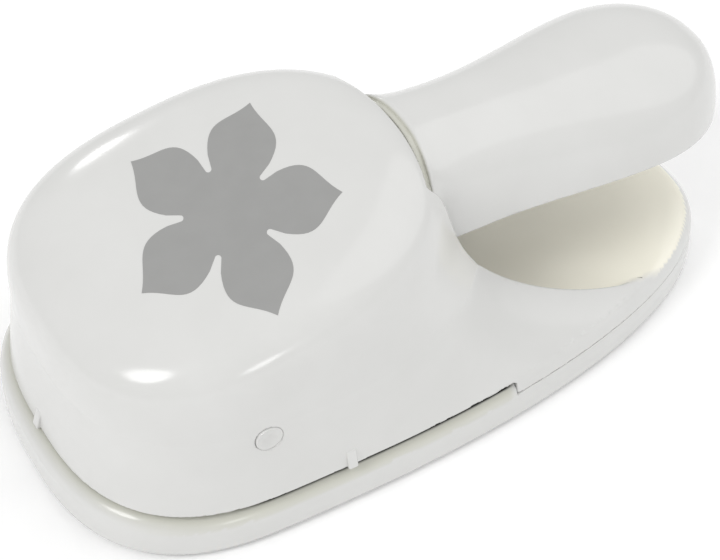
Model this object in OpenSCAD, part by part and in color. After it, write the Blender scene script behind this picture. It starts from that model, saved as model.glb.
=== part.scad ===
// Lever craft punch: a flower punch and die inside a rounded plastic body, pressed by a long rear handle.
// +Z is up, -Y is the front and +Y the handle end. Z = 0 is the plane that the feet rest on.

/* [Body] */
// Greatest width of the body
body_w = 76; // [74:1:80]
// Length of the base, front to rear
body_l = 147; // [145:1:149]
// Height of the roof at the crown of the head
head_h = 53; // [52.4:0.2:53.4]
// Wall thickness of the plastic shells
wall = 2.4; // [2:0.1:2.8]
// Width of the front ledge, where the base stands proud of the head
ledge = 2.2; // [2:0.1:3]

/* [Paper slot] */
// Height of the joint between base and housing behind the slot
deck_z = 7.2; // [7:0.1:7.3]
// Height of the face that the paper lies on
land_z = 9.4; // [9.3:0.1:9.5]
// Height of the head's lower lip at the mouth of the slot
lip_z = 10.6; // [10.5:0.1:10.8]
// Rear end of the slot along the side
slot_end = 12.7; // [12.2:0.1:13.2]

/* [Handle] */
// Half width of the handle's neck
neck_hw = 15.2; // [14.8:0.2:15.4]
// Half width of the handle's knob
knob_hw = 19.6; // [18:0.2:20]
// Crown height of the handle
handle_h = 54; // [53.4:0.2:54.2]
// Height of the handle's lower edge at the head
skirt_z = 34; // [33.6:0.2:34.4]
// Width of the groove between the head and the handle
seam_gap = 2; // [1.8:0.1:2.2]

/* [Punch] */
// Radius of the circle through the petals' tips
motif_r = 20; // [17:0.5:20.5]
// Height of the punch block
punch_h = 8.9; // [8.7:0.1:9]
// Clearance between punch and die
die_gap = 0.12; // [0.1:0.01:0.16]
// Free height between die plate and guide plate
throat = 1; // [0.9:0.1:1.1]

/* [Hidden] */
// Plan of the body
hw = body_w / 2;
front_y = -74.5;
rear_y = front_y + body_l;
widest_y = -36.3;
front_n = 2.69;
rear_n = 2.29;
base_bottom = 0.6;
ring_pts = 56;
land_r = 3.2;
land_end = slot_end - 0.2;
mouth_r = 1.1;

// Profile of the head
dome_z = 28.3;
dome_n = 5;
crown_y = -22.6;
crown_front_n = 2.44;
crown_rear_n = 2.7;
roof_slope = 0.2;
roof_rear = 9.8;
slope_top = 46;
side_draft = 0.079;
front_draft = 0.09;
rim_top = 11.6;
rim_r = 5;
cavity_rear = 4.2;
cavity_n = 8;
seam_y = 4.4;
seam_bow = 2.6;
flare = 4.4;
flare_rise = 7;
crown_flare = 1;
slot_hw = neck_hw + 2.2;
cavity_fall = 5.2;
pocket_z = rim_top;
recess_y = 44;
recess_hw = 24.1;
recess_l = 46;
recess_front = 7;
slot_z = 22.5;
mark_w = 2;
mark_h = 4;
mark_out = 0.8;
pass_hw = 14;
pass_y = -11;
pass_top = 46.4;

// Printed flower: centre, radius, turn, and how far and which way it is drawn out
print_at = [1.9, -31.1, 0];
print_r = 21;
print_turn = 142;
print_stretch = 1.3;
print_dir = 151;
print_t = 0.12;

// Die set
die_y = -25;
plate_hw = 27;
plate_front = -49;
plate_rear = 2.8;
die_z = 7.1;
die_t = 2.4;
guide_z = die_z + die_t + throat;
guide_t = 1.5;
guide_top = guide_z + guide_t;
window_hw = 22;
chip_z = 3.6;
cover_t = 1.6;
spacer_d = 5.5;

// Punch and its springs
punch_z = guide_z + 0.2;
pressure_z = punch_z + punch_h;
pressure_t = 2;
pad_z = pressure_z + pressure_t;
post_x = 21;
post_dy = 19;
post_r = 1.5;
post_h = 11.9;
slide_gap = 0.05;
spring_r = 2.6;
spring_wire = 0.35;
spring_turns = 5;
spring_sides = 6;
spring_steps = 60;

// Lever
pin_y = -41;
pin_z = 26;
pin_r = 2;
run_gap = 0.04;
arm_x = 9;
arm_t = 2;
eye_r = 3.3;
bar_r = 3;
bar_z = pin_z + (die_y - pin_y) * tan(5);
pad_top = bar_z - bar_r - 0.05;
boss_in = 28;
boss_out = 34.6;
pin_half = 34;
cap_r = 2.7;
cap_h = 2;
cover_wall = 2.2;
tip_y = 74.4;
knob_y = 51.5;
handle_n = 2.6;
core_end = 55;
arch_n = 24;
handle_front = seam_y + seam_gap;
flare_y = handle_front - seam_bow;
handle_ys = [
  for (k = [0 : 7]) flare_y + 1.5 * k,
  for (y = [16 : 5 : knob_y]) y,
  for (k = [1 : 10]) knob_y + (tip_y - knob_y) * sin(9 * k) * 0.999
];
collar_y = handle_front + 1.8;
rabbet_in = 0.8;
rabbet_gap = 0.2;
cut_hw = 24;
boss_top = handle_h - 2;
core_hole_y = [23, 46];
web_z = 38.6;
web_t = 2;
tongue_hw = 13;
tongue_top = 45.4;
tongue_t = 1.5;
tongue_r = 4;
tongue_y = -3;

// Fasteners, feet and guide posts: right-hand positions, mirrored to the left
housing_screw_at = [[25, 21], [17, 51]];
die_screw_at = [[24.6, die_y - 15], [24.6, die_y + 15]];
foot_at = [[24, -59], [18, 49]];
foot_r = 5;
post_at = [[post_x, die_y - post_dy], [post_x, die_y + post_dy]];
guide_screw_at = [[30.6, pin_y]];
guide_head_h = 0.8;
punch_screw_at = [[7, die_y]];
rivet_x = [-19, 0, 19];
rivet_y = 0.1;
rivet_r = 1.6;

plastic = "whitesmoke";
steel = "silver";

// ---- Curves ----
function spow(v, e) = sign(v) * pow(abs(v), e);

// Egg-shaped outline: half width w, ends yf and yr, widest at yw, with superellipse exponents nf and nr.
function egg(w, yf, yr, yw, nf = front_n, nr = rear_n, n = ring_pts) = [
  for (i = [0 : n - 1])
    let (a = 360 * i / n, p = sin(a) < 0 ? nf : nr, reach = sin(a) < 0 ? yw - yf : yr - yw)
    [w * spow(cos(a), 2 / p), yw + reach * spow(sin(a), 2 / p)]
];
function at_height(outline, z) = [for (p = outline) [p[0], p[1], z]];

// Where the rear deck's surface lies at a height: a rounded rim, then a concave slope up to the roof.
function rim_round(z) = rim_r * (1 - sqrt(max(0, 1 - pow(max(0, z - deck_z) / (rim_top - deck_z), 2))));
function deck_rear(z) = z < rim_top
  ? rear_y - rim_round(z)
  : roof_rear + (rear_y - rim_r - roof_rear) * pow(max(0, slope_top - z) / (slope_top - rim_top), 3);
function side_hw(z) = hw - 0.4 - side_draft * (z - deck_z);
function head_front(z) = front_y + ledge + front_draft * (z - deck_z);

// Rings of the head's wall and of its cavity below the dome.
function wall_ring(z) = at_height(
  egg(side_hw(z), head_front(z), deck_rear(z), widest_y + 0.18 * (z - deck_z)), z);
function cavity_ring(z, rear) = at_height(
  egg(side_hw(z) - wall, head_front(z) + wall, rear, widest_y, front_n, cavity_n), z);

// One ring of the dome, drawn in to a share s of the wall's plan; its roof rises towards the rear.
// A cavity's ring is inset by t and ends at yr.
function dome_rise(s) = pow(1 - pow(s, dome_n), 1 / dome_n);
function dome_ring(s, t = 0, yr = 0) =
  let (g = dome_rise(s), level = dome_z + (slope_top - dome_z) * g,
       yw = widest_y + (crown_y - widest_y) * (1 - s) + 3.8 * s,
       rear = t > 0 ? yr : deck_rear(level),
       nf = crown_front_n + (front_n - crown_front_n) * s,
       nr = crown_rear_n + (rear_n - crown_rear_n) * s,
       ring = egg((side_hw(dome_z) - t) * s, yw + (head_front(dome_z) + t - yw) * s,
                  yw + (rear - yw) * s, yw, nf, nr))
  [for (p = ring) [p[0], p[1], dome_z + (head_h - t - dome_z + roof_slope * (p[1] - crown_y)) * g]];

// Five petals of tip radius 1: a straight flank from the notch, then a cubic curve to the pointed tip.
notch_r = 0.389;
notch = [0.356, 0.222];
flank = [0.466, 0.277];
belly = [0.802, 0.384];
taper = [0.783, 0.169];
function petal_edge(t) = pow(1 - t, 3) * flank + 3 * t * pow(1 - t, 2) * belly
  + 3 * t * t * (1 - t) * taper + pow(t, 3) * [1, 0];
petal = [
  [notch_r * cos(36), -notch_r * sin(36)],
  [notch[0], -notch[1]],
  for (i = [0 : 9]) let (p = petal_edge(i / 9)) [p[0], -p[1]],
  for (i = [8 : -1 : 0]) petal_edge(i / 9),
  notch
];
function turn(p, a) = [p[0] * cos(a) - p[1] * sin(a), p[0] * sin(a) + p[1] * cos(a)];
function flower(r, a0 = 90) = [for (k = [0 : 4]) for (p = petal) turn(r * p, a0 + 72 * k)];
// A closed outline moved outwards by d
function grown(pts, d) = [
  for (i = [0 : len(pts) - 1])
    let (t = pts[(i + 1) % len(pts)] - pts[(i + len(pts) - 1) % len(pts)])
    pts[i] + d * [t[1], -t[0]] / norm(t)
];
// A plan outline drawn out by f along the direction at angle a.
function stretched(pts, f, a) = [for (p = pts) let (q = turn(p, -a)) turn([q[0] * f, q[1]], a)];

// Handle: half width, lower edge and crown height along its length.
function smooth(t) = let (c = min(1, max(0, t))) c * c * (3 - 2 * c);
function end_round(y) = y < knob_y ? 1
  : pow(max(0, 1 - pow((y - knob_y) / (tip_y - knob_y), 2.3)), 1 / 2.3);
function flared(y) = exp(-max(0, y - flare_y) / 2.8);
function handle_hw(y) = (neck_hw + (knob_hw - neck_hw) * smooth((y - 17) / 36)) * end_round(y);
function handle_low(y) = skirt_z + 3 * smooth((y - 13) / 44);
function handle_crown(y) = handle_h - 0.8 * sin(180 * min(1, (y - seam_y) / 50));
function handle_top(y) = handle_low(y) + (handle_crown(y) - handle_low(y)) * (0.35 + 0.65 * end_round(y))
  + crown_flare * flared(y);

// Stations of the hollow inside, from the front collar to the tip's wall
inner_l = (tip_y - cover_wall - collar_y) / (tip_y - flare_y);
function inner_y(y) = collar_y + (y - flare_y) * inner_l;

// An inverted U across the handle: inset by t, its shoulders flared by f, reaching below the skirt by drop.
function arch(y, t, f, drop) = [
  for (j = [0 : arch_n])
    let (a = 180 - 180 * j / arch_n, height = max(1, handle_top(y) - handle_low(y) - t),
         rise = height * pow(sin(a), 2 / handle_n),
         wide = handle_hw(y) + f * flared(y) * smooth((rise - flare_rise) / 8))
    [max(0.4, wide - t) * spow(cos(a), 2 / handle_n), y,
     handle_low(y) + (j == 0 || j == arch_n ? -drop : rise)]
];

// ---- Solids from rings ----
// Rings with equal numbers of points, joined in order and closed by a flat face at each end.
module skin(rings) {
  n = len(rings[0]);
  m = len(rings);
  polyhedron(
    points = [for (r = rings) each r],
    faces = [
      [for (i = [0 : n - 1]) i],
      for (k = [0 : m - 2]) for (i = [0 : n - 1]) each [
        [k * n + i, k * n + n + i, k * n + n + (i + 1) % n],
        [k * n + i, k * n + n + (i + 1) % n, k * n + (i + 1) % n]
      ],
      [for (i = [n - 1 : -1 : 0]) (m - 1) * n + i]
    ]);
}

module rod_x(x0, x1, y, z, r) translate([x0, y, z]) rotate([0, 90, 0]) cylinder(h = x1 - x0, r = r, $fn = 48);

module rod_z(x, y, z0, z1, r) translate([x, y, z0]) cylinder(h = z1 - z0, r = r, $fn = 48);

module both_sides() {
  children();
  mirror([1, 0, 0]) children();
}

// Block of half width w behind a line that bows from y in the middle to further forward at the sides.
module behind_seam(y, w) linear_extrude(60) polygon([
  for (k = [-12 : 12]) [w * k / 12, y - seam_bow * min(1, pow(w * k / 12 / slot_hw, 2))],
  [w, y + 80], [-w, y + 80]
]);

module plate(x, y0, y1, z, t) translate([-x, y0, z]) cube([2 * x, y1 - y0, t]);

// ---- Base ----
module at_each(spots) for (p = spots) for (side = [-1, 1]) translate([side * p[0], p[1], 0]) children();

// Height and inset of the base's rings, up to its round shoulder
base_profile = [
  [base_bottom, 1.4], [1.2, 0.5], [2, 0],
  for (a = [0 : 15 : 90]) [land_z - land_r + land_r * sin(a), land_r * (1 - cos(a))]
];

module base_tray() {
  color(plastic)
  difference() {
    skin([for (p = base_profile) at_height(egg(hw - p[1], front_y + p[1], rear_y - p[1], widest_y), p[0])]);
    translate([-60, land_end, deck_z]) cube([120, 99, 9]);
    translate([0, 0, -1]) linear_extrude(chip_z + 1)
      polygon(egg(hw - wall - 1, front_y + wall + 1.4, rear_y - wall - 1.4, widest_y));
    plate(plate_hw, plate_front, plate_rear, die_z, 9);
    plate(window_hw, die_y - window_hw, die_y + window_hw, 0, 9);
    at_each(housing_screw_at) rod_z(0, 0, 0, 9, 1.4);
    at_each(die_screw_at) rod_z(0, 0, 0, 9, 1.2);
  }
}

module bottom_cover() {
  color(plastic)
  difference() {
    translate([0, 0, base_bottom]) linear_extrude(cover_t)
      polygon(egg(hw - wall - 1.2, front_y + wall + 1.6, rear_y - wall - 1.6, widest_y));
    plate(window_hw, die_y - window_hw, die_y + window_hw, 0, 9);
  }
}

module rubber_feet() {
  color("dimgray") at_each(foot_at) rod_z(0, 0, 0, base_bottom, foot_r);
}

// ---- Head ----
module head_shell() {
  skin([
    for (s = [0.12, 0.3, 0.5, 0.68, 0.82, 0.92, 0.98]) dome_ring(s, wall, cavity_rear - cavity_fall),
    cavity_ring(22, cavity_rear - cavity_fall),
    for (z = [15, deck_z]) cavity_ring(z, cavity_rear),
    for (z = [deck_z, 8.4, 9.6, 10.6, 11.3, 11.6, 12.2, 13, 14.5, 16.5, 19, 22, dome_z]) wall_ring(z),
    for (s = [0.99, 0.965, 0.93, 0.89, 0.84, 0.76, 0.65, 0.5, 0.32, 0.14]) dome_ring(s)
  ]);
}

// Small wedge on the lip that marks the middle of the motif
module sight_mark() {
  translate([0, mark_w / 2, lip_z]) rotate([90, 0, 0]) linear_extrude(mark_w)
    polygon([[-1, 0], [mark_out, 0], [-0.3, mark_h], [-1, mark_h]]);
}

module upper_housing() {
  color(plastic)
  difference() {
    union() {
      head_shell();
      both_sides() rod_x(boss_in, boss_out, pin_y, pin_z, 4.4);
      at_each(guide_screw_at) rod_z(0, 0, guide_top, pin_z, 2.6);
      both_sides() translate([side_hw(lip_z), die_y, 0]) sight_mark();
      translate([0, head_front(lip_z), 0]) rotate([0, 0, -90]) sight_mark();
    }
    // Mouth of the paper slot, round at its upper rear corner
    translate([-60, -90, 0]) cube([120, slot_end + 90 - mouth_r, lip_z]);
    translate([-60, -90, 0]) cube([120, slot_end + 90, lip_z - mouth_r]);
    rod_x(-60, 60, slot_end - mouth_r, lip_z - mouth_r, mouth_r);
    // Room for the handle, and the scooped recess below it
    translate([0, 0, slot_z]) behind_seam(seam_y, slot_hw);
    translate([-pass_hw, pass_y, slot_z]) cube([2 * pass_hw, seam_y + 1 - pass_y, pass_top - slot_z]);
    translate([0, 0, pocket_z]) linear_extrude(60) intersection() {
      polygon(egg(recess_hw, recess_y - recess_l, recess_y + recess_l, recess_y, 2, 2));
      translate([-recess_hw, recess_front]) square([2 * recess_hw, 90]);
    }
    // Hollow under the deck
    linear_extrude(pocket_z - 2) polygon(egg(12, 25, 57, 41, 3, 3));
    rod_x(-60, 60, pin_y, pin_z, pin_r);
    both_sides() rod_x(pin_half, 60, pin_y, pin_z, cap_r);
    at_each(housing_screw_at) rod_z(0, 0, 0, 10.8, 1.4);
    at_each(guide_screw_at) rod_z(0, 0, 0, 18, 1.3);
  }
}

module flat_screw(z0, z1, head_r, head_h, shank_r) {
  rod_z(0, 0, z0, z0 + head_h, head_r);
  rod_z(0, 0, z0, z1, shank_r);
}

module housing_screws() {
  color(steel) at_each(housing_screw_at) flat_screw(2.3, 10.8, 2.8, chip_z - 2.3, 1.4);
}

module flower_print() {
  color("darkgray")
  intersection() {
    translate(print_at) linear_extrude(60)
      polygon(stretched(flower(print_r, print_turn), print_stretch, print_dir));
    difference() {
      head_skin(print_t);
      head_skin(0);
    }
  }
}

module head_skin(t) {
  translate([0, 0, t]) skin([
    for (s = [0.965, 0.93, 0.89, 0.84, 0.76, 0.65, 0.5, 0.32, 0.14]) dome_ring(s)
  ]);
}

// ---- Pivot ----
module pivot_pin() {
  color(steel) rod_x(-pin_half, pin_half, pin_y, pin_z, pin_r);
}

module pin_cap() {
  color(plastic) rod_x(pin_half, pin_half + cap_h, pin_y, pin_z, cap_r);
}

module pin_cap_right() pin_cap();

module pin_cap_left() mirror([1, 0, 0]) pin_cap();

// ---- Die set ----
module rivet_holes() for (x = rivet_x) rod_z(x, rivet_y, 0, 30, rivet_r);

module die_plate() {
  color(steel)
  difference() {
    plate(plate_hw, plate_front, plate_rear, die_z, die_t);
    translate([0, die_y, 0]) linear_extrude(30) polygon(grown(flower(motif_r), die_gap));
    rivet_holes();
    at_each(die_screw_at) rod_z(0, 0, 0, die_z + 2, 1.2);
  }
}

module throat_spacer() {
  color("gray")
  difference() {
    plate(plate_hw, plate_rear - spacer_d, plate_rear, die_z + die_t, throat);
    rivet_holes();
  }
}

module guide_plate() {
  color(steel)
  difference() {
    union() {
      plate(plate_hw, plate_front, plate_rear, guide_z, guide_t);
      plate(33, pin_y - 5, pin_y + 5, guide_z, guide_t);
    }
    translate([0, die_y, 0]) linear_extrude(30) polygon(grown(flower(motif_r), 2 * die_gap));
    rivet_holes();
    at_each(post_at) rod_z(0, 0, 0, 30, post_r);
    at_each(guide_screw_at) rod_z(0, 0, 0, 30, 1.3 + run_gap);
    at_each(guide_screw_at) rod_z(0, 0, 0, guide_z + guide_head_h, 2.3 + run_gap);
  }
}

module set_rivets() {
  color("gray")
  for (x = rivet_x) {
    rod_z(x, rivet_y, die_z, guide_top, rivet_r);
    rod_z(x, rivet_y, guide_top, guide_top + 1.2, 2.8);
  }
}

module die_screws() {
  color(steel) at_each(die_screw_at) flat_screw(2.4, die_z + 2, 2.3, chip_z - 2.4, 1.2);
}

module guide_screws() {
  color(steel) at_each(guide_screw_at) flat_screw(guide_z, 18, 2.3, guide_head_h, 1.3);
}

module guide_posts() {
  color(steel) at_each(post_at) rod_z(0, 0, guide_z, guide_z + post_h, post_r);
}

// ---- Punch ----
module punch_block() {
  color("lightgray")
  difference() {
    translate([0, die_y, punch_z]) linear_extrude(punch_h) polygon(flower(motif_r));
    at_each(punch_screw_at) rod_z(0, 0, pressure_z - 5, 40, 1.2);
  }
}

module pressure_plate() {
  color(steel)
  difference() {
    plate(25, die_y - 22.5, die_y + 22.5, pressure_z, pressure_t);
    at_each(post_at) rod_z(0, 0, 0, 40, post_r + slide_gap);
    at_each(punch_screw_at) rod_z(0, 0, 0, 40, 1.2);
  }
}

module wear_pad() {
  color("ivory")
  difference() {
    plate(12, die_y - 6, die_y + 6, pad_z, pad_top - pad_z);
    at_each(punch_screw_at) rod_z(0, 0, 0, 40, 2.3);
  }
}

module punch_screws() {
  color("gray") at_each(punch_screw_at) {
    rod_z(0, 0, pressure_z - 5, pad_z, 1.2);
    rod_z(0, 0, pad_z, pad_z + 1.1, 2.3);
  }
}

// Coil spring between guide plate and pressure plate, its wire just clear of both
module return_spring(x, y) {
  rise = pressure_z - guide_top - 2 * spring_wire - 0.1;
  color("darkgray")
  translate([x, y, guide_top + spring_wire + 0.05])
  skin([
    for (k = [0 : spring_steps])
      let (a = 360 * spring_turns * k / spring_steps, z = rise * k / spring_steps)
      [for (j = [0 : spring_sides - 1])
        let (b = -360 * j / spring_sides, r = spring_r + spring_wire * cos(b))
        [r * cos(a), r * sin(a), z + spring_wire * sin(b)]]
  ]);
}

module return_spring_1() return_spring(-post_x, die_y - post_dy);
module return_spring_2() return_spring(post_x, die_y - post_dy);
module return_spring_3() return_spring(-post_x, die_y + post_dy);
module return_spring_4() return_spring(post_x, die_y + post_dy);

// ---- Lever ----
module lever_cover() {
  color(plastic) {
    difference() {
      union() {
        intersection() {
          skin([for (y = handle_ys) arch(y, 0, flare, 0)]);
          behind_seam(handle_front, cut_hw);
        }
        intersection() {
          skin([for (y = [seam_y - seam_bow, collar_y - 0.1, collar_y + 0.5]) arch(y, rabbet_in, flare, 0)]);
          behind_seam(seam_y + rabbet_gap, cut_hw);
        }
      }
      skin([for (y = handle_ys) [for (p = arch(y, cover_wall, 0, 1)) [p[0], inner_y(y), p[2]]]]);
      tongue_bore();
    }
    difference() {
      tongue(tongue_hw, tongue_top, tongue_r, skirt_z, tongue_y, collar_y);
      tongue_bore();
    }
    for (y = core_hole_y) difference() {
      rod_z(0, y, web_z + web_t, boss_top, 3);
      rod_z(0, y, web_z, web_z + 5.5, 1.3);
    }
  }
}

// Closed block with round top corners that slides under the roof ahead of the handle
module tongue(w, top, r, z0, y0, y1) {
  translate([0, y1, 0]) rotate([90, 0, 0]) linear_extrude(y1 - y0) polygon([
    [-w, z0], [w, z0],
    for (a = [0 : 15 : 90]) [w - r + r * cos(a), top - r + r * sin(a)],
    for (a = [90 : 15 : 180]) [-w + r + r * cos(a), top - r + r * sin(a)]
  ]);
}

module tongue_bore() {
  tongue(tongue_hw - tongue_t, tongue_top - tongue_t, tongue_r - tongue_t, skirt_z - 1,
         tongue_y - 1, collar_y + 1);
}

// Side profile of one arm: an eye at the pin, rising to a straight stretch under the handle.
module arm_profile() {
  difference() {
    union() {
      translate([pin_y, pin_z]) circle(r = eye_r, $fn = 48);
      polygon([
        [pin_y, pin_z - eye_r], [pin_y + 8, pin_z - 0.7], [die_y + 4, bar_z - 2.2], [5, 35],
        [core_end, 38.4], [core_end, 41.6], [5, 42.2], [die_y + 2, 34], [pin_y, pin_z + eye_r]
      ]);
    }
    translate([pin_y, pin_z]) circle(r = pin_r + run_gap, $fn = 48);
    translate([die_y, bar_z]) circle(r = bar_r - 1.2 + run_gap, $fn = 48);
  }
}

module lever_core() {
  color("lightgray")
  difference() {
    union() {
      both_sides() translate([arm_x, 0, 0]) rotate([90, 0, 90]) linear_extrude(arm_t) arm_profile();
      plate(arm_x, seam_y + 3, core_end, web_z, web_t);
    }
    for (y = core_hole_y) rod_z(0, y, 0, 60, 1.3);
  }
}

module hub_spacer() {
  color("ivory")
  difference() {
    rod_x(-arm_x, arm_x, pin_y, pin_z, 3.2);
    rod_x(-arm_x - 1, arm_x + 1, pin_y, pin_z, pin_r + run_gap);
  }
}

module side_spacers() {
  color("ivory")
  both_sides() difference() {
    rod_x(arm_x + arm_t + 0.1, boss_in - 0.1, pin_y, pin_z, 3.2);
    rod_x(0, 60, pin_y, pin_z, pin_r + run_gap);
  }
}

module press_bar() {
  color(steel) {
    rod_x(-arm_x, arm_x, die_y, bar_z, bar_r);
    rod_x(-arm_x - arm_t, arm_x + arm_t, die_y, bar_z, bar_r - 1.2);
  }
}

module cover_screws() {
  color(steel)
  for (y = core_hole_y) {
    rod_z(0, y, web_z - 1.4, web_z, 2.6);
    rod_z(0, y, web_z, web_z + 5.5, 1.3);
  }
}

module lever_stop_pad() {
  color("dimgray") translate([-6, tongue_y, tongue_top + 0.05]) cube([12, 7, pass_top - tongue_top - 0.05]);
}

base_tray();
bottom_cover();
rubber_feet();
upper_housing();
housing_screws();
flower_print();
pivot_pin();
pin_cap_left();
pin_cap_right();
die_plate();
throat_spacer();
guide_plate();
set_rivets();
die_screws();
guide_screws();
guide_posts();
punch_block();
pressure_plate();
wear_pad();
punch_screws();
return_spring_1();
return_spring_2();
return_spring_3();
return_spring_4();
lever_cover();
lever_core();
hub_spacer();
side_spacers();
press_bar();
cover_screws();
lever_stop_pad();
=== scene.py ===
"""Looks of the lever craft punch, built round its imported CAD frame.

The moulded plastic shells are made again at high resolution: each is a distance field in
millimetres, with round edges, whose surface is meshed and settled onto the field's zero level.
"""
import math

import bmesh
import bpy
import numpy as np
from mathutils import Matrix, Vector
from mathutils.geometry import delaunay_2d_cdt


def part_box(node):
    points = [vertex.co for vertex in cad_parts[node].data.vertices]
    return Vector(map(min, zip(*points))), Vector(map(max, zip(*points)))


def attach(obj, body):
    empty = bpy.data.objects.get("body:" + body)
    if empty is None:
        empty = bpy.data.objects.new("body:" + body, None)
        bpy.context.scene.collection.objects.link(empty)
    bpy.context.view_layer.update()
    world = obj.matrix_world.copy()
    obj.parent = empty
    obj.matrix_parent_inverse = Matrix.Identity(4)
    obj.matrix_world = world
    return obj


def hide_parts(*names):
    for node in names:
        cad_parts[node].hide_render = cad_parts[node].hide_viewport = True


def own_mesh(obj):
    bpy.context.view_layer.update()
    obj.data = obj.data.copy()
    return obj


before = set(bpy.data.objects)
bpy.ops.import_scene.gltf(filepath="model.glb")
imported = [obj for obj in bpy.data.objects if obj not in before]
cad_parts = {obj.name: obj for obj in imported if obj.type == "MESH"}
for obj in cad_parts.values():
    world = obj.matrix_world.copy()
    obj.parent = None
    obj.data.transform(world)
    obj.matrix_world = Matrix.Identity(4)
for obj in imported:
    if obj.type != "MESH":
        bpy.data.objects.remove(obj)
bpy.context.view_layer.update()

MM = 0.001


def mm_box(node):
    """A CAD node's lowest and highest corners in millimetres."""
    lo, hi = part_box(node)
    return np.array(lo) / MM, np.array(hi) / MM


# ---- Sizes in millimetres, from the frame where a node's box gives them ----
BASE_LO, BASE_HI = mm_box("base_tray")
HOUSING_LO, HOUSING_HI = mm_box("upper_housing")
PIN_LO, PIN_HI = mm_box("pivot_pin")
CAP_LO, CAP_HI = mm_box("pin_cap_right")
DIE_LO, DIE_HI = mm_box("die_plate")
LEVER_LO, LEVER_HI = mm_box("lever_cover")
PRINT_LO, PRINT_HI = mm_box("flower_print")

HALF_W = BASE_HI[0]
FRONT_Y = BASE_LO[1]
REAR_Y = BASE_HI[1]
BASE_Z = BASE_LO[2]
DECK_Z = HOUSING_LO[2]
LAND_Z = BASE_HI[2]
LAND_R = 3.2
WIDEST_Y = FRONT_Y + 38.2
FRONT_N, REAR_N = 2.69, 2.29
WALL = 2.4

# Head
LEDGE = 2.2
DOME_Z = 28.3
DOME_N = 5.0
HEAD_H = 53.0
CROWN_Y = FRONT_Y + 51.9
CROWN_FRONT_N, CROWN_REAR_N = 2.44, 2.7
ROOF_SLOPE = 0.2
ROOF_REAR = FRONT_Y + 84.3
SLOPE_TOP = 46.0
SIDE_DRAFT = 0.079
FRONT_DRAFT = 0.09
RIM_TOP = 11.6
RIM_R = 5.0
CAVITY_REAR = FRONT_Y + 78.7
WAIST_LEAN = 0.18

# Openings
LIP_Z = 10.6
SLOT_END = FRONT_Y + 87.2
MOUTH_R = 1.1
LAND_END = SLOT_END - 0.04
SEAM_Y = FRONT_Y + 78.9
SEAM_BOW = 2.6
SLOT_HW = 17.4
SLOT_Z = 22.5
RECESS = (0.0, FRONT_Y + 118.5, 24.1, 46.0)
RECESS_FRONT = FRONT_Y + 81.5
PASS_HW = 14.0
PASS_Y = FRONT_Y + 63.5
PASS_TOP = 46.4
PIN_Y = (PIN_LO[1] + PIN_HI[1]) / 2
PIN_Z = (PIN_LO[2] + PIN_HI[2]) / 2
PIN_R = (PIN_HI[2] - PIN_LO[2]) / 2
PIN_END = PIN_HI[0]
CAP_R = (CAP_HI[2] - CAP_LO[2]) / 2
DIE_Y = PIN_Y + 16
BOSS_R, BOSS_IN = 4.4, 28.0
CAVITY_STEP = 5.0
PRESS_HOLE = 22.0
LAND_RISE = 0.7
FLOOR_Z = 3.6

# Handle
TIP_Y = LEVER_HI[1]
KNOB_Y = TIP_Y - 22.9
NECK_HW, KNOB_HW = 15.2, 19.6
HANDLE_H = 54.0
SKIRT_Z = 34.0
HANDLE_N = 2.6
COVER_WALL = 2.2
HANDLE_FRONT = SEAM_Y + 2.0
FLARE_Y = HANDLE_FRONT - SEAM_BOW
COLLAR_Y = HANDLE_FRONT + 1.8
TONGUE_HW, TONGUE_TOP, TONGUE_T = 13.0, 45.4, 1.5
TONGUE_Y = LEVER_LO[1]
FLARE, FLARE_RISE = 4.4, 7.0
RABBET = 0.8

# Edge radii of the shells, a reach past everything and the half step for slopes
EDGE = 0.3
THIN_EDGE = 0.1
JOINT_EDGE = 0.08
FAR = 200.0
PROBE = 0.05
HALVINGS = 26


# ---- Distance fields: less than 0 inside, arrays of x, y, z in millimetres ----
def round_max(a, b, r):
    """Intersection of two fields, with their common edge rounded to radius r."""
    corner = np.hypot(np.maximum(a + r, 0), np.maximum(b + r, 0)) - r
    return np.minimum(np.maximum(a, b), -r) + (corner + r) if r > 0 else np.maximum(a, b)


def round_min(a, b, r):
    """Union of two fields, with a fillet of radius r where they meet."""
    return -round_max(-a, -b, r)


def cut(body, hole, r):
    """What is left of body once hole is cut from it, with edges of radius r."""
    return round_max(body, -hole, r)


def slab(v, lo, hi):
    return np.maximum(lo - v, v - hi)


def box(x, y, z, xs, ys, zs, r=0.0):
    return round_max(round_max(slab(x, *xs), slab(y, *ys), r), slab(z, *zs), r)


def rod(a, b, ca, cb, r):
    """An endless round rod of radius r at (ca, cb) in the plane of a and b."""
    return np.hypot(a - ca, b - cb) - r


def ease(t):
    c = np.clip(t, 0, 1)
    return c * c * (3 - 2 * c)


def egg(x, y, w, front, rear, widest, front_n=FRONT_N, rear_n=REAR_N):
    """Superellipse norm of an egg-shaped outline: 1 on the outline, less inside."""
    ahead = y < widest
    n = np.where(ahead, front_n, rear_n)
    reach = np.where(ahead, widest - front, rear - widest)
    return ((np.abs(x) / w) ** n + (np.abs(y - widest) / reach) ** n) ** (1 / n)


def radial(norm, r):
    """Distance from a norm's unit level, measured along the ray from its centre."""
    return (1 - 1 / np.maximum(norm, 1e-6)) * r


def rim_round(z):
    climb = np.clip((z - DECK_Z) / (RIM_TOP - DECK_Z), 0, 1)
    return RIM_R * (1 - np.sqrt(1 - climb ** 2))


def deck_rear(z):
    """Rear end of the housing at a height: a rounded rim, then a concave slope up to the roof."""
    share = np.clip((SLOPE_TOP - z) / (SLOPE_TOP - RIM_TOP), 0, 1)
    slope = ROOF_REAR + (REAR_Y - RIM_R - ROOF_REAR) * share ** 3
    return np.where(z < RIM_TOP, REAR_Y - rim_round(z), slope)


def side_hw(z):
    return HALF_W - 0.4 - SIDE_DRAFT * (z - DECK_Z)


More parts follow.
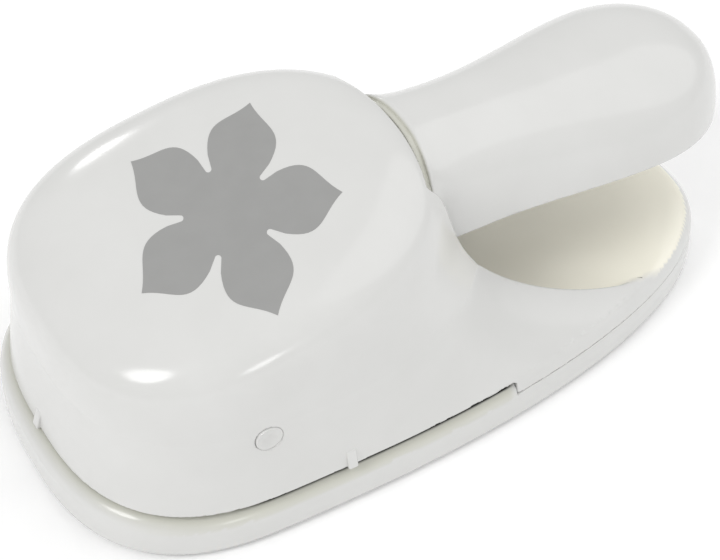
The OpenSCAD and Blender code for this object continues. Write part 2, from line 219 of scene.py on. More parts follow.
def bowed(x, y):
    """Shifts y so that a level line bows: further forward at the sides than in the middle."""
    return y + SEAM_BOW * (np.minimum(np.abs(x), SLOT_HW) / SLOT_HW) ** 2


def head_front(z):
    return FRONT_Y + LEDGE + FRONT_DRAFT * (z - DECK_Z)


def dome_share(x, y):
    """Share of the wall's plan whose dome ring passes over (x, y), found by halving."""
    def ring(s):
        rise = (1 - s ** DOME_N) ** (1 / DOME_N)
        widest = WIDEST_Y + (CROWN_Y - WIDEST_Y) * (1 - s) + WAIST_LEAN * (DOME_Z - DECK_Z) * s
        rear = deck_rear(DOME_Z + (SLOPE_TOP - DOME_Z) * rise)
        front_n = CROWN_FRONT_N + (FRONT_N - CROWN_FRONT_N) * s
        rear_n = CROWN_REAR_N + (REAR_N - CROWN_REAR_N) * s
        return egg(x, y, side_hw(DOME_Z), head_front(DOME_Z), rear, widest, front_n, rear_n)

    low = np.zeros(np.broadcast(x, y).shape)
    high = np.ones_like(low)
    for _ in range(HALVINGS):
        mid = (low + high) / 2
        beyond = ring(mid) > mid
        low = np.where(beyond, mid, low)
        high = np.where(beyond, high, mid)
    return np.where(low > 1 - 1e-7, np.maximum(ring(np.ones_like(low)), 1), low)


def section(x, y, z):
    """In-plane distance from the head's level outline at each height, up to its shoulders."""
    lower = np.minimum(z, DOME_Z)
    rise = np.clip((z - DOME_Z) / (HEAD_H - DOME_Z + ROOF_SLOPE * (y - CROWN_Y)), 0, 0.98)
    share = (1 - rise ** DOME_N) ** (1 / DOME_N)
    lean = WAIST_LEAN * (lower - DECK_Z)
    widest = WIDEST_Y + lean * share + (CROWN_Y - WIDEST_Y) * (1 - share)
    rear = np.where(z < DOME_Z, deck_rear(lower), deck_rear(DOME_Z + (SLOPE_TOP - DOME_Z) * rise))
    front_n = CROWN_FRONT_N + (FRONT_N - CROWN_FRONT_N) * share
    rear_n = CROWN_REAR_N + (REAR_N - CROWN_REAR_N) * share
    norm = egg(x, y, side_hw(lower), head_front(lower), rear, widest, front_n, rear_n) / share
    return radial(norm, np.hypot(x, y - widest)), rise


def head(x, y, z):
    """The head and rear deck as one solid, before anything is cut from it."""
    h = PROBE
    level, rise = section(x, y, z)
    tilt = (section(x, y, z + h)[0] - section(x, y, z - h)[0]) / (2 * h)
    level = level / np.sqrt(1 + tilt ** 2)
    widest = WIDEST_Y + WAIST_LEAN * (DOME_Z - DECK_Z)
    above = np.maximum(z - DOME_Z, 0)
    high_rise = above / (HEAD_H - DOME_Z + ROOF_SLOPE * (y - CROWN_Y))
    dome = (dome_share(x, y) ** DOME_N + high_rise ** DOME_N) ** (1 / DOME_N)
    domed = radial(dome, np.sqrt(x ** 2 + (y - widest) ** 2 + above ** 2))
    return level + (domed - level) * ease((rise - 0.45) / 0.2)


def recess_oval(x, y):
    """Norm of the oval that the recess follows in plan, 1 on the oval."""
    mid_x, mid_y, half_x, half_y = RECESS
    return np.hypot((x - mid_x) / half_x, (y - mid_y) / half_y)


def housing(x, y, z):
    outside = head(x, y, z)
    body = round_max(outside, DECK_Z - z, JOINT_EDGE)
    cavity = round_max(outside + WALL, y - CAVITY_REAR + CAVITY_STEP * ease((z - 16) / 6), 1.5)
    body = cut(body, cavity, 0.4)
    across = np.abs(x)
    pin = rod(y, z, PIN_Y, PIN_Z, BOSS_R)
    body = round_min(body, round_max(pin, slab(across, BOSS_IN, PIN_END + 0.6), 0.2), 0.5)
    body = cut(body, round_max(y - SLOT_END, z - LIP_Z, MOUTH_R), EDGE)
    slot = box(across, bowed(x, y), z, (-FAR, SLOT_HW), (SEAM_Y, FAR), (SLOT_Z, FAR), 0.8)
    body = cut(body, slot, 0.9)
    passage = box(across, y, z, (-FAR, PASS_HW), (PASS_Y, SEAM_Y + 1), (SLOT_Z, PASS_TOP), 0.5)
    body = cut(body, passage, EDGE)
    recess = radial(recess_oval(x, y), np.hypot(x - RECESS[0], y - RECESS[1]))
    recess = round_max(recess, RECESS_FRONT - y, 1.0)
    body = cut(body, round_max(recess, RIM_TOP - z, 1.2), 0.7)
    body = cut(body, rod(y, z, PIN_Y, PIN_Z, PIN_R), THIN_EDGE)
    plug = round_max(rod(y, z, PIN_Y, PIN_Z, CAP_R - 0.02), PIN_END - across, THIN_EDGE)
    return cut(body, plug, JOINT_EDGE - 0.03)


def base(x, y, z):
    plan = radial(egg(x, y, HALF_W, FRONT_Y, REAR_Y, WIDEST_Y), np.hypot(x, y - WIDEST_Y))
    land = LAND_Z + LAND_RISE * ease((-52 - y) / 16)
    body = round_max(plan, z - land, LAND_R)
    flush = np.maximum(plan, section(x, y, DECK_Z + 0 * z)[0])
    body = body + (flush - body) * ease((y - LAND_END) / 3) * ease((z - DECK_Z + 2.5) / 2.5)
    body = cut(body, round_max(LAND_END - y, DECK_Z - z, 0.05), JOINT_EDGE)
    body = round_max(body, BASE_Z - z, 1.3)
    inner = plan + WALL + 1.2
    body = cut(body, round_max(inner, z - FLOOR_Z, EDGE), EDGE)
    across = np.abs(x)
    pocket = box(across, y, z, (-FAR, DIE_HI[0]), (DIE_LO[1], DIE_HI[1]), (DIE_LO[2], FAR))
    body = cut(body, pocket, EDGE)
    hole = box(across, y, z, (-FAR, PRESS_HOLE), (DIE_Y - PRESS_HOLE, DIE_Y + PRESS_HOLE), (-FAR, FAR), 1.0)
    return cut(body, hole, EDGE)


def handle_norm(x, y, z):
    """Superellipse norm of the handle's arched section, closed round at the tip."""
    run = np.clip((y - KNOB_Y) / (TIP_Y - KNOB_Y), 0, 1)
    end = np.maximum(1 - run ** 2.3, 1e-6) ** (1 / 2.3)
    flared = np.exp(-np.maximum(y - FLARE_Y, 0) / 2.8)
    low = SKIRT_Z + 3 * ease((y - 13) / 44)
    up = np.maximum(z - low, 0)
    half = (NECK_HW + (KNOB_HW - NECK_HW) * ease((y - 17) / 36)) * end
    half = half + FLARE * flared * ease((up - FLARE_RISE) / 8)
    crown = HANDLE_H - 0.8 * np.sin(np.pi * np.clip((y - SEAM_Y) / 50, 0, 1))
    height = (crown - low) * (0.35 + 0.65 * end) + flared
    return ((np.abs(x) / half) ** HANDLE_N + (up / height) ** HANDLE_N) ** (1 / HANDLE_N), low


def lever_shell(x, y, z):
    norm, low = handle_norm(x, y, z)
    h = PROBE
    pairs = (((x + h, y, z), (x - h, y, z)),
             ((x, y + h, z), (x, y - h, z)),
             ((x, y, z + h), (x, y, z - h)))
    changes = [handle_norm(*up)[0] - handle_norm(*down)[0] for up, down in pairs]
    slope = np.sqrt(sum(change ** 2 for change in changes)) / (2 * h)
    outside = (norm - 1) / np.maximum(slope, 1e-3)
    outside = np.maximum(outside, y - TIP_Y)
    body = round_max(outside, low - z, 0.5)
    along = bowed(x, y)
    body = round_max(body, HANDLE_FRONT - 0.5 - along, 1.0)
    body = cut(body, round_max(outside + COVER_WALL, COLLAR_Y - along, 0.5), 0.5)
    rabbet = round_max(outside + RABBET, slab(along, SEAM_Y + 0.12, COLLAR_Y), THIN_EDGE)
    body = np.minimum(body, round_max(rabbet, low + 0.4 - z, THIN_EDGE))
    across = np.abs(x)
    tongue = box(across, y, z, (-FAR, TONGUE_HW), (TONGUE_Y, COLLAR_Y), (SKIRT_Z, TONGUE_TOP), 2.0)
    body = round_min(body, tongue, EDGE)
    bore = box(across, y, z, (-FAR, TONGUE_HW - TONGUE_T), (-FAR, COLLAR_Y + 1),
               (-FAR, TONGUE_TOP - TONGUE_T), 1.0)
    return cut(body, bore, EDGE)


# ---- Meshing a field ----
CORNERS = np.array([[i, j, k] for i in (0, 1) for j in (0, 1) for k in (0, 1)])
CELL_EDGES = [(a, b) for a in range(8) for b in range(a + 1, 8) if np.abs(CORNERS[a] - CORNERS[b]).sum() == 1]


def surface_net(field, lo, hi, step):
    """Points and quads round a field's zero level: one point for each grid cell that it crosses."""
    axes = [np.arange(a - 1.5 * step, b + 2.5 * step, step) for a, b in zip(lo, hi)]
    x, y, z = np.meshgrid(*axes, indexing="ij", sparse=True)
    f = np.broadcast_to(field(x, y, z), [len(a) for a in axes])
    inside = f < 0
    cells = tuple(n - 1 for n in f.shape)
    count = np.zeros(cells, int)
    for i, j, k in CORNERS:
        count += inside[i:i + cells[0], j:j + cells[1], k:k + cells[2]]
    where = np.argwhere((count > 0) & (count < 8))
    number = np.full(cells, -1)
    number[tuple(where.T)] = np.arange(len(where))
    corner = np.stack([f[tuple((where + c).T)] for c in CORNERS], axis=1)
    total = np.zeros((len(where), 3))
    hits = np.zeros(len(where))
    for a, b in CELL_EDGES:
        crossed = (corner[:, a] < 0) != (corner[:, b] < 0)
        share = np.where(crossed, corner[:, a] / np.where(crossed, corner[:, a] - corner[:, b], 1), 0)
        spot = CORNERS[a] + (CORNERS[b] - CORNERS[a]) * share[:, None]
        total += np.where(crossed[:, None], spot, 0)
        hits += crossed
    origin = np.array([a[0] for a in axes])
    points = origin + (where + total / hits[:, None]) * step
    quads = []
    for axis in range(3):
        others = [d for d in range(3) if d != axis]
        along = np.diff(inside.astype(int), axis=axis)
        spots = np.argwhere(along != 0)
        spots = spots[(spots[:, others[0]] > 0) & (spots[:, others[1]] > 0)]
        leaving = along[tuple(spots.T)] < 0
        u, v = np.eye(3, dtype=int)[others[0]], np.eye(3, dtype=int)[others[1]]
        ring = np.stack([number[tuple((spots - du * u - dv * v).T)]
                         for du, dv in ((1, 1), (0, 1), (0, 0), (1, 0))], 1)
        flip = leaving if axis == 1 else ~leaving
        ring[flip] = ring[flip][:, ::-1]
        quads.append(ring)
    return points, np.concatenate(quads)


def gradient(field, p, h=0.01):
    columns = []
    for axis in range(3):
        shift = np.zeros(3)
        shift[axis] = h
        columns.append((field(*(p + shift).T) - field(*(p - shift).T)) / (2 * h))
    return np.stack(columns, axis=1)


def settle(field, p, rounds=4, reach=0.4):
    """Moves points along the field's slope onto its zero level."""
    for _ in range(rounds):
        slope = gradient(field, p)
        steep = np.maximum((slope ** 2).sum(axis=1), 0.04)
        move = -(field(*p.T) / steep)[:, None] * slope
        size = np.linalg.norm(move, axis=1, keepdims=True)
        p = p + move * np.minimum(1, reach / np.maximum(size, 1e-9))
    return p


def relax(points, quads, share=0.5):
    """Moves each point part of the way to the middle of its neighbours."""
    total = np.zeros_like(points)
    count = np.zeros(len(points))
    for k in range(4):
        for a, b in ((k, (k + 1) % 4), ((k + 1) % 4, k)):
            np.add.at(total, quads[:, a], points[quads[:, b]])
            np.add.at(count, quads[:, a], 1)
    return points + share * (total / count[:, None] - points)


def unit(v):
    return v / np.maximum(np.linalg.norm(v, axis=1, keepdims=True), 1e-9)


def spread(normals, ring):
    """How far apart the normals at a face's corners point: 0 where it is flat."""
    first, *rest = normals[ring]
    return 1 - min(float(first @ other) for other in rest)


def moulding(name, field, lo, hi, step, bend=0.2, detail=None):
    """A mesh object on a field's zero level, with smaller faces where it turns sharply or detail says so."""
    points, quads = surface_net(field, lo, hi, step)
    points = settle(field, points, 2)
    for _ in range(2):
        points = settle(field, relax(points, quads), 2)
    mesh = bpy.data.meshes.new(name)
    mesh.from_pydata((points * MM).tolist(), [], quads.tolist())
    bm = bmesh.new()
    bm.from_mesh(mesh)
    for _ in range(2):
        normals = unit(gradient(field, points))
        bm.verts.index_update()
        wanted = detail(*points.T) if detail else np.zeros(len(points), bool)
        fine = [f for f in bm.faces
                if wanted[f.verts[0].index] or spread(normals, [v.index for v in f.verts]) > bend]
        edges = {e for f in fine for e in f.edges}
        made = bmesh.ops.subdivide_edges(bm, edges=list(edges), cuts=1, use_grid_fill=True)
        near = list({v for e in made["geom_inner"] if isinstance(e, bmesh.types.BMEdge) for v in e.verts})
        for _ in range(3):
            bmesh.ops.smooth_vert(bm, verts=near, factor=0.5,
                                  use_axis_x=True, use_axis_y=True, use_axis_z=True)
            points = settle(field, np.array([v.co for v in bm.verts]) / MM, 2)
            for v, p in zip(bm.verts, points * MM):
                v.co = p
    bm.normal_update()
    bm.to_mesh(mesh)
    bm.free()
    mesh.shade_smooth()
    mesh.normals_split_custom_set_from_vertices(unit(gradient(field, points)).tolist())
    piece = bpy.data.objects.new(name, mesh)
    bpy.context.collection.objects.link(piece)
    return piece


def object_from(name, bm, smooth=True):
    """An object at the origin from a bmesh in millimetres."""
    bmesh.ops.scale(bm, vec=(MM, MM, MM), verts=bm.verts)
    bmesh.ops.recalc_face_normals(bm, faces=bm.faces)
    mesh = bpy.data.meshes.new(name)
    bm.to_mesh(mesh)
    bm.free()
    if smooth:
        mesh.shade_smooth()
    piece = bpy.data.objects.new(name, mesh)
    bpy.context.collection.objects.link(piece)
    return piece


def soften(piece, width, segments=3, angle=30):
    """Rounds a piece's sharp edges; width in millimetres."""
    bevel = piece.modifiers.new("Round", "BEVEL")
    bevel.width = width * MM
    bevel.segments = segments
    bevel.limit_method = "ANGLE"
    bevel.angle_limit = math.radians(angle)
    bevel.harden_normals = True
    return bevel


def lathe(profile, count=48):
    """A bmesh turned round Z from (radius, z) points, closed where the radius is 0."""
    bm = bmesh.new()
    rings = []
    for r, z in profile:
        if r == 0:
            rings.append([bm.verts.new((0, 0, z))])
        else:
            turns = [2 * math.pi * k / count for k in range(count)]
            rings.append([bm.verts.new((r * math.cos(a), r * math.sin(a), z)) for a in turns])
    for lower, upper in zip(rings, rings[1:]):
        for k in range(count):
            here, there = k, (k + 1) % count
            loop = [lower[here % len(lower)], lower[there % len(lower)],
                    upper[there % len(upper)], upper[here % len(upper)]]
            bm.faces.new(list(dict.fromkeys(loop)))
    return bm


# ---- Materials ----
def finish(name, colours, roughness, bump, metallic=0.0, stretch=(1, 1, 1), ior=1.5, crease_shade_depth=0.0, grain=900.0,
           tints=(), glow=0.0):
    """A procedural material: two tones in soft patches, uneven gloss and a fine raised grain.

    colours: two linear RGB tones. roughness: least and most. bump: height of the grain in millimetres.
    """
    made = bpy.data.materials.new(name)
    made.use_nodes = True
    tree = made.node_tree
    bsdf = tree.nodes["Principled BSDF"]
    bsdf.inputs["Metallic"].default_value = metallic
    bsdf.inputs["IOR"].default_value = ior

    def add(kind, **values):
        node = tree.nodes.new(kind)
        for key, value in values.items():
            setattr(node, key, value)
        return node

    def noise(scale, detail, source):
        node = add("ShaderNodeTexNoise")
        node.inputs["Scale"].default_value = scale
        node.inputs["Detail"].default_value = detail
        tree.links.new(source, node.inputs["Vector"])
        return node.outputs["Fac"]

    coords = add("ShaderNodeTexCoord").outputs["Object"]
    mapping = add("ShaderNodeMapping")
    mapping.inputs["Scale"].default_value = stretch
    tree.links.new(coords, mapping.inputs["Vector"])
    grained = mapping.outputs["Vector"]

    tone = add("ShaderNodeValToRGB")
    tone.color_ramp.elements[0].position = 0.35
    tone.color_ramp.elements[1].position = 0.65
    tone.color_ramp.elements[0].color = (*colours[0], 1)
    tone.color_ramp.elements[1].color = (*colours[1], 1)
    tree.links.new(noise(grain / 12, 5, grained), tone.inputs["Fac"])
    colour = tone.outputs["Color"]
    # Painted shade: colour darkened and warmed where the surface is concave (low pointiness), as shade falls
    # in creases.
    if crease_shade_depth:
        point = add("ShaderNodeNewGeometry").outputs["Pointiness"]
        reach = add("ShaderNodeMapRange")
        reach.inputs["From Min"].default_value = 0.40
        reach.inputs["From Max"].default_value = 0.49
        reach.inputs["To Min"].default_value = crease_shade_depth
        reach.inputs["To Max"].default_value = 0.0
        tree.links.new(point, reach.inputs["Value"])
        crease_shade_tint = add("ShaderNodeMix", data_type="RGBA", blend_type="MULTIPLY")
        crease_shade_tint.inputs["B"].default_value = (0.72, 0.69, 0.62, 1)
        tree.links.new(reach.outputs["Result"], crease_shade_tint.inputs["Factor"])
        tree.links.new(colour, crease_shade_tint.inputs["A"])
        colour = crease_shade_tint.outputs["Result"]
    # Painted light and shade: each attribute's share multiplies the colour by its tint.
    for attribute, shade in tints:
        share = add("ShaderNodeAttribute", attribute_name=attribute).outputs["Fac"]
        tint = add("ShaderNodeMix", data_type="RGBA", blend_type="MULTIPLY")
        tint.inputs["B"].default_value = (*shade, 1)
        tree.links.new(share, tint.inputs["Factor"])
        tree.links.new(colour, tint.inputs["A"])
        colour = tint.outputs["Result"]
    if glow:
        bsdf.inputs["Emission Color"].default_value = (1, 1, 1, 1)
        bsdf.inputs["Emission Strength"].default_value = glow
    tree.links.new(colour, bsdf.inputs["Base Color"])

    gloss = add("ShaderNodeMapRange")
    gloss.inputs["From Min"].default_value = 0.3
    gloss.inputs["From Max"].default_value = 0.7
    gloss.inputs["To Min"].default_value = roughness[0]
    gloss.inputs["To Max"].default_value = roughness[1]
    tree.links.new(noise(grain / 4, 6, grained), gloss.inputs["Value"])
    tree.links.new(gloss.outputs["Result"], bsdf.inputs["Roughness"])

    raised = add("ShaderNodeBump")
    raised.inputs["Strength"].default_value = 1.0
    raised.inputs["Distance"].default_value = bump * MM
    tree.links.new(noise(grain, 4, grained), raised.inputs["Height"])
    tree.links.new(raised.outputs["Normal"], bsdf.inputs["Normal"])
    return made


WHITE = ((0.672, 0.672, 0.657), (0.690, 0.690, 0.676))
# Painted light: the recess tint brightens and warms the recess floor, which the handle shades.
ABS = finish("white_abs", WHITE, (0.12, 0.18), 0.003, crease_shade_depth=0.5,
             # Painted shade: the second tint darkens the handle's front by the seam with the head.
             tints=[("recess", (1.38, 1.34, 1.19)), ("groove", (0.86, 0.86, 0.78))])
# Painted shade on the tray: a grey tint on the land along the lip, and a near-black tint for the shade in the
# slot under the lip.
TRAY = finish("tray_abs", WHITE, (0.14, 0.20), 0.003, crease_shade_depth=0.3,
              tints=[("ledge", (0.88, 0.88, 0.80)), ("under_lip", (0.03, 0.03, 0.03))])
COVER = finish("textured_abs", ((0.60, 0.60, 0.59), (0.64, 0.64, 0.63)), (0.45, 0.6), 0.03, grain=2500)
INK = finish("grey_ink", ((0.322, 0.322, 0.316), (0.332, 0.332, 0.326)), (0.5, 0.6), 0.003,
             grain=2500, ior=1.3)
RUBBER = finish("black_rubber", ((0.03, 0.03, 0.03), (0.05, 0.05, 0.048)), (0.6, 0.8), 0.05, grain=2500)
ZINC = finish("zinc_steel", ((0.50, 0.50, 0.51), (0.62, 0.62, 0.63)), (0.22, 0.38), 0.006, metallic=1.0)
GROUND = finish("ground_steel", ((0.48, 0.48, 0.50), (0.58, 0.58, 0.60)), (0.18, 0.34), 0.006, metallic=1.0,
                stretch=(1, 14, 1), grain=1500)
WIRE = finish("spring_wire", ((0.38, 0.38, 0.40), (0.5, 0.5, 0.52)), (0.2, 0.35), 0.004, metallic=1.0)
NYLON = finish("natural_nylon", ((0.68, 0.65, 0.56), (0.74, 0.71, 0.62)), (0.35, 0.5), 0.01)
FOAM = finish("grey_foam", ((0.06, 0.06, 0.06), (0.12, 0.12, 0.12)), (0.9, 1.0), 0.2, grain=2000)
PAPER = finish("pale_floor", ((0.93, 0.93, 0.93), (0.95, 0.95, 0.95)), (0.7, 0.8), 0.02, glow=0.08)


def dress(piece, body, made, slot, *nodes):
    """Gives a piece its material and its body, and hides the CAD nodes that it stands for."""
    piece.data.materials.clear()
    piece.data.materials.append(made)
    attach(piece, body)
    if nodes:
        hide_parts(*nodes)
    return piece


# ---- Camera ----
AIM = Vector((4.14, FRONT_Y + 69.49, 20.0)) * MM
AZIMUTH, ELEVATION = math.radians(61.05), math.radians(46.16)
DISTANCE = 450 * MM
BACK = Vector((math.sin(AZIMUTH) * math.cos(ELEVATION), -math.cos(AZIMUTH) * math.cos(ELEVATION),
               math.sin(ELEVATION)))


def make_camera():
    """The camera at the photographed angle."""
    data = bpy.data.cameras.new("camera")
    data.lens = 115.8
    data.sensor_width = 36.0
    data.clip_start = 0.02
    camera = bpy.data.objects.new("camera", data)
    camera.location = AIM + BACK * DISTANCE
    camera.rotation_euler = BACK.to_track_quat("Z", "Y").to_euler()
    bpy.context.collection.objects.link(camera)
    bpy.context.scene.camera = camera


# ---- Pieces ----
STEP = 0.75


def under_lip(x, y, z):
    """Where the land passes under the head's lip."""
    return (z > DECK_Z) & (np.abs(section(x, y, np.full_like(x, LIP_Z))[0] + 1.0) < 0.9)


def points_of(piece):
    """x, y and z of a piece's points in millimetres."""
    return (np.array([v.co for v in piece.data.vertices]) / MM).T


def paint(piece, word, share):
    """Stores a share from 0 to 1 at each point, for a tint of painted light or shade in the piece's material.
    """
    piece.data.attributes.new(word, "FLOAT", "POINT").data.foreach_set("value", share)


def make_shells():
    """The head, the tray under it and the handle."""
    shell = moulding("head_shell", housing, HOUSING_LO, HOUSING_HI, STEP)
    x, y, z = points_of(shell)
    # Painted light: share of the recess floor whose colour is brightened and warmed, as the handle shades it.
    inside = np.clip((1.02 - recess_oval(x, y)) / 0.06, 0, 1)
    inside *= np.clip((RIM_TOP + 2 - z) / 1.5, 0, 1) * (z > LIP_Z)
    paint(shell, "recess", inside)
    dress(shell, "frame", ABS, "white_plastic", "upper_housing")
    tray = moulding("tray", base, BASE_LO, BASE_HI, STEP, detail=under_lip)
    x, y, z = points_of(tray)
    beyond = section(x, y, np.full_like(x, LIP_Z))[0]
    ahead = ease((LAND_END - y) / 2) * (z > DECK_Z)
    # Painted shade: grey band on the land along the lip line, fading outward over 2 mm.
    paint(tray, "ledge", ahead * np.clip(1 - beyond / 2.0, 0, 1))
    # Painted shade: near-black strip of land just inside the lip, for the shade in the narrow slot, fading
    # out towards the front.
    paint(tray, "under_lip", ahead * np.clip((-0.8 - beyond) / 0.4, 0, 1) * ease((y + 52) / 12))
    dress(tray, "frame", TRAY, "white_plastic", "base_tray")
    handle = moulding("handle_shell", lever_shell, LEVER_LO, LEVER_HI, STEP * 0.85)
    x, y, z = points_of(handle)
    # Painted shade: the handle's front face by the seam is darkened, where shade falls in the groove.
    paint(handle, "groove", ease((HANDLE_FRONT - bowed(x, y)) / 0.5))
    dress(handle, "lever", ABS, "white_plastic", "lever_cover")


def petal_edge(t):
    """Cubic curve from a petal's flank to its pointed tip, radius 1."""
    shares = ((1 - t) ** 3, 3 * t * (1 - t) ** 2, 3 * t * t * (1 - t), t ** 3)
    points = ((0.466, 0.277), (0.802, 0.384), (0.783, 0.169), (1.0, 0.0))
    return np.array([sum(s * p[k] for s, p in zip(shares, points)) for k in (0, 1)])


def flower(radius, turn, steps=16):
    """Closed outline of five petals with round-ended notches between them."""
    side = [np.array((0.356, 0.222))] + [petal_edge(k / steps) for k in range(steps + 1)]
    petal = [p * (1, -1) for p in side] + side[-2::-1]
    a, b = side[0], turned(side[0] * (1, -1), math.radians(72))
    middle, inward = (a + b) / 2, -(a + b) / np.linalg.norm(a + b)
    r = np.linalg.norm(a - b) / 2
    across = (a - b) / (2 * r)
    arc = np.linspace(0, math.pi, 9)[1:-1]
    notch = [middle + r * (math.cos(t) * across + math.sin(t) * inward) for t in arc]
    return [radius * turned(p, turn + math.radians(72 * k)) for k in range(5) for p in petal + notch]


def turned(p, angle):
    c, s = math.cos(angle), math.sin(angle)
    return np.array((p[0] * c - p[1] * s, p[0] * s + p[1] * c))


def make_print():
    """The printed flower: laid on the roof along the camera's direction, so it looks regular from there."""
    right = Vector((math.cos(AZIMUTH), math.sin(AZIMUTH), 0))
    up = BACK.cross(right)
    centre = np.array(((PRINT_LO[0] + PRINT_HI[0]) / 2, (PRINT_LO[1] + PRINT_HI[1]) / 2, HEAD_H - 1.5))
    radius = 21.0
    turn = math.radians(81.1)
    grid, margin = 0.7, 0.45
    sunk, proud = 0.02, 0.05
    outline = flower(radius, turn)
    spots = np.arange(-radius, radius, grid)
    inner = [(u, v) for u in spots for v in spots if math.hypot(u, v) < radius]
    near = np.array(outline)
    inner = [p for p in inner if np.hypot(*(near - p).T).min() > margin]
    flat = [Vector(p) for p in outline] + [Vector(p) for p in inner]
    ring = [(k, (k + 1) % len(outline)) for k in range(len(outline))]
    flat, _, faces, *_ = delaunay_2d_cdt(flat, ring, [], 1, 1e-5)
    flat = np.array(flat)
    look = np.array(BACK)
    start = centre + flat[:, :1] * np.array(right) + flat[:, 1:] * np.array(up)
    reach = np.zeros(len(start))
    for _ in range(40):
        reach -= head(*(start + reach[:, None] * look).T) / np.dot(look, (0, 0, 1))
    lower = settle(head, start + reach[:, None] * look, 2)
    normal = unit(gradient(head, lower))
    bm = bmesh.new()
    under = [bm.verts.new(p) for p in lower - sunk * normal]
    over = [bm.verts.new(p) for p in lower + proud * normal]
    for face in faces:
        bm.faces.new([over[k] for k in face])
        bm.faces.new([under[k] for k in reversed(face)])
    bm.verts.index_update()
    rim = {tuple(sorted(v.index for v in e.verts)) for e in bm.edges if e.is_boundary}
    bm.verts.ensure_lookup_table()
    n = len(lower)
    for a, b in sorted(pair for pair in rim if pair[1] < n):
        bm.faces.new([bm.verts[k] for k in (a, b, b + n, a + n)])
    piece = object_from("flower_ink", bm, smooth=False)
    dress(piece, "frame", INK, "print", "flower_print")


def make_pin_caps():
    """Shallow round plugs over the ends of the pivot pin, each with a soft rim and a dished middle."""
    deep = CAP_HI[0] - CAP_LO[0]
    r = CAP_R - 0.01
    rim, step, dish = 0.15, 0.05, 0.65
    profile = [(0, 0), (r - rim - step, 0), (r, rim + step)]
    profile += [(r - rim * (1 - math.cos(t)), deep - rim - step + rim * math.sin(t))
                for t in np.linspace(0, math.pi / 2, 5)]
    profile += [((r - rim) * (1 - t), deep - step - dish * math.sin(t * math.pi / 2))
                for t in np.linspace(0.08, 0.96, 11)]
    profile += [(0, deep - step - dish)]
    for side, word in ((1, "right"), (-1, "left")):
        bm = lathe(profile)
        for v in bm.verts:
            x, y, z = v.co
            v.co = (side * (PIN_END + z), PIN_Y + x, PIN_Z + y * side)
        piece = object_from(f"pin_plug_{word}", bm)
        dress(piece, "frame", ABS, "white_plastic", f"pin_cap_{word}")


def make_sight_marks():
    """Small wedges on the lip: right, left and front."""
    lean = 0.8
    rise = 4.0
    half = 1.0
    outline = [(-1.0, 0.0), (lean, 0.0), (lean - 0.05, 0.6), (-0.3, rise), (-1.0, rise)]
    places = {
        "right": ((side_hw(LIP_Z), DIE_Y), 0.0),
        "left": ((-side_hw(LIP_Z), DIE_Y), math.pi),
        "front": ((0.0, float(head_front(LIP_Z))), -math.pi / 2),
    }
    for word, ((px, py), angle) in places.items():
        bm = bmesh.new()
        ends = [[bm.verts.new((*(np.array((px, py)) + turned((out, across), angle)), LIP_Z + up))
                 for out, up in outline] for across in (-half, half)]
        bm.faces.new(ends[0])
        bm.faces.new(ends[1][::-1])
        for k in range(len(outline)):
            m = (k + 1) % len(outline)
            bm.faces.new((ends[0][k], ends[0][m], ends[1][m], ends[1][k]))
        piece = object_from(f"sight_mark_{word}", bm)
        soften(piece, 0.3)
        dress(piece, "frame", ABS, "white_plastic")


def make_springs():
    """Coil springs of round wire, whose end coils lie flat."""
    turns, sides, per_turn, wire = 5, 12, 32, 0.35
    for k in range(1, 5):
        lo, hi = mm_box(f"return_spring_{k}")
        mid = (lo + hi) / 2
        coil = (hi[0] - lo[0]) / 2 - wire
        bm = bmesh.new()
        rings = []
        count = turns * per_turn
        for i in range(count + 1):
            t = i / count
            a = 2 * math.pi * turns * t
            flat = ease(np.array(t * 1.0))
            z = lo[2] + wire + (hi[2] - lo[2] - 2 * wire) * (0.6 * t + 0.4 * float(flat))
            ring = []
            for j in range(sides):
                b = -2 * math.pi * j / sides
                out = coil + wire * math.cos(b)
                spot = (mid[0] + out * math.cos(a), mid[1] + out * math.sin(a), z + wire * math.sin(b))
                ring.append(bm.verts.new(spot))
            rings.append(ring)
        for low, high in zip(rings, rings[1:]):
            for j in range(sides):
                bm.faces.new((low[j], low[(j + 1) % sides], high[(j + 1) % sides], high[j]))
        bm.faces.new(rings[0][::-1])
        bm.faces.new(rings[-1])
        piece = object_from(f"coil_spring_{k}", bm)
        dress(piece, "frame", WIRE, "spring_steel", f"return_spring_{k}")
        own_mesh(piece)


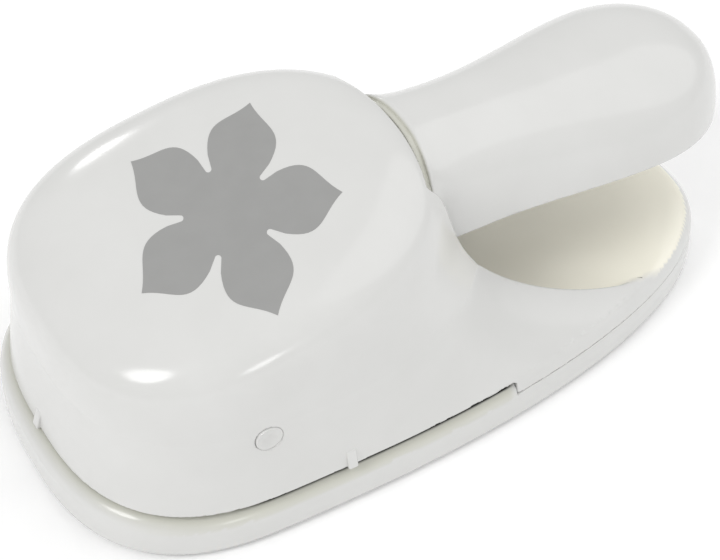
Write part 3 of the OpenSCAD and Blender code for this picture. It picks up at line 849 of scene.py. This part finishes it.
def dress_frame():
    """Materials and soft edges for the CAD nodes that keep their shape."""
    looks = {
        "bottom_cover": (COVER, 0.3), "rubber_feet": (RUBBER, 0.15), "housing_screws": (ZINC, 0.15),
        "pivot_pin": (ZINC, 0.2), "die_plate": (GROUND, 0.08), "throat_spacer": (ZINC, 0.08),
        "guide_plate": (GROUND, 0.08), "set_rivets": (ZINC, 0.2), "die_screws": (ZINC, 0.15),
        "guide_screws": (ZINC, 0.15), "guide_posts": (GROUND, 0.2), "punch_block": (GROUND, 0.04),
        "pressure_plate": (ZINC, 0.15), "wear_pad": (NYLON, 0.2), "punch_screws": (ZINC, 0.2),
        "lever_core": (ZINC, 0.15), "hub_spacer": (NYLON, 0.15), "side_spacers": (NYLON, 0.15),
        "press_bar": (ZINC, 0.2), "cover_screws": (ZINC, 0.2), "lever_stop_pad": (FOAM, 0.2),
    }
    for node, (made, edge) in looks.items():
        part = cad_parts[node]
        part.data.materials.clear()
        part.data.materials.append(made)
        weld = part.modifiers.new("Weld", "WELD")
        weld.merge_threshold = 0.001 * MM
        soften(part, edge, segments=2)


# ---- Studio ----
def make_floor():
    """A pale floor, wide enough to have no edge in view."""
    bm = bmesh.new()
    bmesh.ops.create_grid(bm, x_segments=40, y_segments=40, size=3000)
    floor = object_from("floor", bm)
    floor.data.materials.append(PAPER)


def area_light(name, toward, distance, size, power):
    """A round soft light that shines on the object from a direction."""
    data = bpy.data.lights.new(name, "AREA")
    data.shape = "DISK"
    data.size = size
    data.energy = power
    light = bpy.data.objects.new(name, data)
    direction = Vector(toward).normalized()
    light.location = AIM + direction * distance
    light.rotation_euler = direction.to_track_quat("Z", "Y").to_euler()
    bpy.context.collection.objects.link(light)


WORLD_GLOW = 0.62


def make_lights():
    """A pale world, three small lamps and a wide one behind."""
    world = bpy.data.worlds.new("studio")
    world.use_nodes = True
    background = world.node_tree.nodes["Background"]
    background.inputs["Color"].default_value = (1, 1, 1, 1)
    background.inputs["Strength"].default_value = WORLD_GLOW
    bpy.context.scene.world = world
    area_light("front_lamp", (0.12, -0.69, 0.71), 0.9, 0.36, 2.4)
    area_light("right_lamp", (0.95, -0.05, 0.31), 0.9, 0.18, 0.5)
    area_light("left_lamp", (-0.90, -0.06, 0.42), 0.9, 0.10, 0.35)
    area_light("rear_fill", (0.1, 0.6, 0.8), 1.1, 1.6, 5.2)
    bpy.context.scene.view_settings.view_transform = "Standard"


make_camera()
make_shells()
make_print()
make_pin_caps()
make_sight_marks()
make_springs()
dress_frame()
make_floor()
make_lights()
